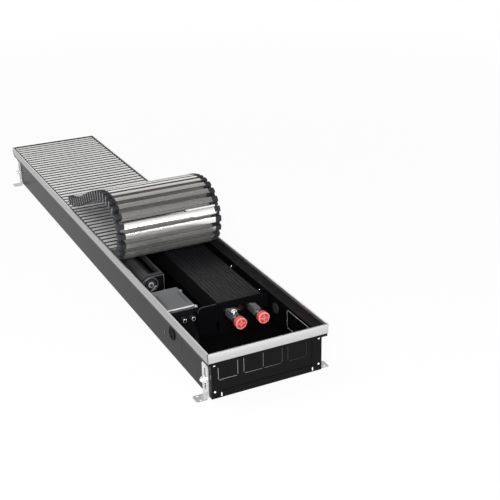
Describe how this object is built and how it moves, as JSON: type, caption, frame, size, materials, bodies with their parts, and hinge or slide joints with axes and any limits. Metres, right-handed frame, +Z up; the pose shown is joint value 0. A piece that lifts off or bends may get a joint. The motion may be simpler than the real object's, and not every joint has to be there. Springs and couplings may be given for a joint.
{
  "type": "trench convector heater",
  "caption": "Floor trench heater: black tray on four levelling feet, finned coil, tangential fan, wiring box, capped unions, and a slatted grille partly rolled back.",
  "frame": {"origin": "middle of the footprint, on the floor under the feet", "axes": "+Y along the trench from the connection end to the far end, +Z up, X across the trench"},
  "size_m": [0.3378, 1.7, 0.282],
  "materials": {
    "anodised": "satin anodised",
    "black_sheet": "satin",
    "bolt_steel": "zinc plated",
    "box_grey": "matte",
    "chrome": "polished",
    "copper": "dull",
    "fins": "matte black",
    "foot_steel": "zinc plated",
    "galvanised_sheet": "smooth",
    "gland_grey": "matte",
    "lid_grey": "matte",
    "light_sheet": "galvanised",
    "motor": "satin",
    "nickel": "nickel plated",
    "plug": "matte",
    "red_cap": "matte",
    "rotor": "satin",
    "rubber": "matte",
    "slat_metal": "satin anodised",
    "terminal": "matte"
  },
  "bodies": {
    "casing": {"trough_floor": "black_sheet", "trough_walls": "galvanised_sheet", "trough_ledges": "galvanised_sheet", "end_plates": "black_sheet", "casing_rivets": "bolt_steel", "frame_long": "anodised", "frame_short": "anodised", "blanking_plugs": "plug", "foot_bolts": "bolt_steel", "fin_pack": "fins", "water_tubes": "copper", "coil_end_plates": "black_sheet", "coil_clips": "light_sheet", "connection_unions": "nickel", "vent_body": "chrome", "fan_housing": "light_sheet", "fan_end_plates": "black_sheet", "fan_motor": "motor", "fan_bearing": "rubber", "junction_box": "box_grey", "cable_glands": "gland_grey", "terminal_block": "terminal", "partition_plate": "black_sheet"},
    "foot_rear_right": {"foot_rear_right": "foot_steel"},
    "foot_rear_left": {"foot_rear_left": "foot_steel"},
    "foot_front_right": {"foot_front_right": "foot_steel"},
    "foot_front_left": {"foot_front_left": "foot_steel"},
    "grille_flat": {"grille_flat_slats": "slat_metal"},
    "grille_slat_44": {"grille_slat_44": "slat_metal"},
    "grille_slat_45": {"grille_slat_45": "slat_metal"},
    "grille_slat_46": {"grille_slat_46": "slat_metal"},
    "grille_slat_47": {"grille_slat_47": "slat_metal"},
    "grille_slat_48": {"grille_slat_48": "slat_metal"},
    "grille_slat_49": {"grille_slat_49": "slat_metal"},
    "grille_slat_50": {"grille_slat_50": "slat_metal"},
    "grille_slat_51": {"grille_slat_51": "slat_metal"},
    "grille_slat_52": {"grille_slat_52": "slat_metal"},
    "grille_slat_53": {"grille_slat_53": "slat_metal"},
    "grille_slat_54": {"grille_slat_54": "slat_metal"},
    "grille_slat_55": {"grille_slat_55": "slat_metal"},
    "grille_slat_56": {"grille_slat_56": "slat_metal"},
    "grille_slat_57": {"grille_slat_57": "slat_metal"},
    "grille_slat_58": {"grille_slat_58": "slat_metal"},
    "grille_slat_59": {"grille_slat_59": "slat_metal"},
    "grille_slat_60": {"grille_slat_60": "slat_metal"},
    "grille_slat_61": {"grille_slat_61": "slat_metal"},
    "grille_slat_62": {"grille_slat_62": "slat_metal"},
    "grille_slat_63": {"grille_slat_63": "slat_metal"},
    "grille_slat_64": {"grille_slat_64": "slat_metal"},
    "grille_slat_65": {"grille_slat_65": "slat_metal"},
    "grille_slat_66": {"grille_slat_66": "slat_metal"},
    "grille_slat_67": {"grille_slat_67": "slat_metal"},
    "grille_slat_68": {"grille_slat_68": "slat_metal"},
    "grille_slat_69": {"grille_slat_69": "slat_metal"},
    "grille_slat_70": {"grille_slat_70": "slat_metal"},
    "fan_rotor": {"fan_rotor": "rotor"},
    "cap_left": {"cap_left": "red_cap"},
    "cap_right": {"cap_right": "red_cap"},
    "vent_screw": {"vent_screw": "chrome"},
    "box_lid": {"box_lid": "lid_grey"}
  },
  "joints": [
    {"name": "foot_rear_right_height", "type": "slide", "parent": "casing", "child": "foot_rear_right", "axis": [0, 0, 1], "range_m": [-0.024, 0.009]},
    {"name": "foot_rear_left_height", "type": "slide", "parent": "casing", "child": "foot_rear_left", "axis": [0, 0, 1], "range_m": [-0.024, 0.009]},
    {"name": "foot_front_right_height", "type": "slide", "parent": "casing", "child": "foot_front_right", "axis": [0, 0, 1], "range_m": [-0.024, 0.009]},
    {"name": "foot_front_left_height", "type": "slide", "parent": "casing", "child": "foot_front_left", "axis": [0, 0, 1], "range_m": [-0.024, 0.009]},
    {"name": "grille_lift", "type": "slide", "parent": "casing", "child": "grille_flat", "axis": [0, 0, 1], "range_m": [0, 0.04]},
    {"name": "fan_spin", "type": "hinge", "parent": "casing", "child": "fan_rotor", "pos_m": [-0.087, 0, 0.071], "axis": [0, 1, 0], "continuous": true},
    {"name": "cap_left_pull", "type": "slide", "parent": "casing", "child": "cap_left", "axis": [0, -1, 0], "range_m": [0, 0.04]},
    {"name": "cap_right_pull", "type": "slide", "parent": "casing", "child": "cap_right", "axis": [0, -1, 0], "range_m": [0, 0.04]},
    {"name": "vent_screw_turn", "type": "hinge", "parent": "casing", "child": "vent_screw", "pos_m": [0.021, -0.622, 0.088], "axis": [0, 0, 1], "range_deg": [0, 360]},
    {"name": "box_lid_lift", "type": "slide", "parent": "casing", "child": "box_lid", "axis": [0, 0, 1], "range_m": [0, 0.03]},
    {"name": "slat_44_hinge", "type": "hinge", "parent": "grille_flat", "child": "grille_slat_44", "pos_m": [0, -0.19319, 0.1135], "axis": [-1, 0, 0], "range_deg": [-6.82, 0]},
    {"name": "slat_45_hinge", "type": "hinge", "parent": "grille_slat_44", "child": "grille_slat_45", "pos_m": [0, -0.21717, 0.11637], "axis": [-1, 0, 0], "range_deg": [-11.64, 0]},
    {"name": "slat_46_hinge", "type": "hinge", "parent": "grille_slat_45", "child": "grille_slat_46", "pos_m": [0, -0.24008, 0.12401], "axis": [-1, 0, 0], "range_deg": [-17.59, 0]},
    {"name": "slat_47_hinge", "type": "hinge", "parent": "grille_slat_46", "child": "grille_slat_47", "pos_m": [0, -0.25961, 0.13822], "axis": [-1, 0, 0], "range_deg": [-20.27, 0]},
    {"name": "slat_48_hinge", "type": "hinge", "parent": "grille_slat_47", "child": "grille_slat_48", "pos_m": [0, -0.273, 0.15832], "axis": [-1, 0, 0], "range_deg": [-18.9, 0]},
    {"name": "slat_49_hinge", "type": "hinge", "parent": "grille_slat_48", "child": "grille_slat_49", "pos_m": [0, -0.27916, 0.18166], "axis": [-1, 0, 0], "range_deg": [-17.87, 0]},
    {"name": "slat_50_hinge", "type": "hinge", "parent": "grille_slat_49", "child": "grille_slat_50", "pos_m": [0, -0.27787, 0.20578], "axis": [-1, 0, 0], "range_deg": [-18.27, 0]},
    {"name": "slat_51_hinge", "type": "hinge", "parent": "grille_slat_50", "child": "grille_slat_51", "pos_m": [0, -0.26907, 0.22827], "axis": [-1, 0, 0], "range_deg": [-18.62, 0]},
    {"name": "slat_52_hinge", "type": "hinge", "parent": "grille_slat_51", "child": "grille_slat_52", "pos_m": [0, -0.25356, 0.24678], "axis": [-1, 0, 0], "range_deg": [-17.68, 0]},
    {"name": "slat_53_hinge", "type": "hinge", "parent": "grille_slat_52", "child": "grille_slat_53", "pos_m": [0, -0.23315, 0.2597], "axis": [-1, 0, 0], "range_deg": [-15.3, 0]},
    {"name": "slat_54_hinge", "type": "hinge", "parent": "grille_slat_53", "child": "grille_slat_54", "pos_m": [0, -0.21007, 0.26677], "axis": [-1, 0, 0], "range_deg": [-12.19, 0]},
    {"name": "slat_55_hinge", "type": "hinge", "parent": "grille_slat_54", "child": "grille_slat_55", "pos_m": [0, -0.186, 0.26882], "axis": [-1, 0, 0], "range_deg": [-9.15, 0]},
    {"name": "slat_56_hinge", "type": "hinge", "parent": "grille_slat_55", "child": "grille_slat_56", "pos_m": [0, -0.16192, 0.26701], "axis": [-1, 0, 0], "range_deg": [-6.63, 0]},
    {"name": "slat_57_hinge", "type": "hinge", "parent": "grille_slat_56", "child": "grille_slat_57", "pos_m": [0, -0.13821, 0.26243], "axis": [-1, 0, 0], "range_deg": [-4.73, 0]},
    {"name": "slat_58_hinge", "type": "hinge", "parent": "grille_slat_57", "child": "grille_slat_58", "pos_m": [0, -0.11496, 0.25591], "axis": [-1, 0, 0], "range_deg": [-3.35, 0]},
    {"name": "slat_59_hinge", "type": "hinge", "parent": "grille_slat_58", "child": "grille_slat_59", "pos_m": [0, -0.09212, 0.24805], "axis": [-1, 0, 0], "range_deg": [-2.38, 0]},
    {"name": "slat_60_hinge", "type": "hinge", "parent": "grille_slat_59", "child": "grille_slat_60", "pos_m": [0, -0.06964, 0.23924], "axis": [-1, 0, 0], "range_deg": [-1.68, 0]},
    {"name": "slat_61_hinge", "type": "hinge", "parent": "grille_slat_60", "child": "grille_slat_61", "pos_m": [0, -0.04742, 0.22978], "axis": [-1, 0, 0], "range_deg": [-1.16, 0]},
    {"name": "slat_62_hinge", "type": "hinge", "parent": "grille_slat_61", "child": "grille_slat_62", "pos_m": [0, -0.02539, 0.21987], "axis": [-1, 0, 0], "range_deg": [-0.733, 0]},
    {"name": "slat_63_hinge", "type": "hinge", "parent": "grille_slat_62", "child": "grille_slat_63", "pos_m": [0, -0.0035, 0.20969], "axis": [-1, 0, 0], "range_deg": [-0.313, 0]},
    {"name": "slat_64_hinge", "type": "hinge", "parent": "grille_slat_63", "child": "grille_slat_64", "pos_m": [0, 0.01834, 0.19938], "axis": [1, 0, 0], "range_deg": [-0.222, 0]},
    {"name": "slat_65_hinge", "type": "hinge", "parent": "grille_slat_64", "child": "grille_slat_65", "pos_m": [0, 0.04022, 0.18915], "axis": [1, 0, 0], "range_deg": [-1.05, 0]},
    {"name": "slat_66_hinge", "type": "hinge", "parent": "grille_slat_65", "child": "grille_slat_66", "pos_m": [0, 0.06228, 0.17933], "axis": [1, 0, 0], "range_deg": [-2.28, 0]},
    {"name": "slat_67_hinge", "type": "hinge", "parent": "grille_slat_66", "child": "grille_slat_67", "pos_m": [0, 0.08471, 0.1704], "axis": [1, 0, 0], "range_deg": [-3.4, 0]},
    {"name": "slat_68_hinge", "type": "hinge", "parent": "grille_slat_67", "child": "grille_slat_68", "pos_m": [0, 0.10764, 0.16281], "axis": [1, 0, 0], "range_deg": [-3.31, 0]},
    {"name": "slat_69_hinge", "type": "hinge", "parent": "grille_slat_68", "child": "grille_slat_69", "pos_m": [0, 0.13097, 0.15656], "axis": [1, 0, 0], "range_deg": [-2.19, 0]},
    {"name": "slat_70_hinge", "type": "hinge", "parent": "grille_slat_69", "child": "grille_slat_70", "pos_m": [0, 0.15452, 0.1512], "axis": [1, 0, 0], "range_deg": [-1.16, 0]}
  ]
}
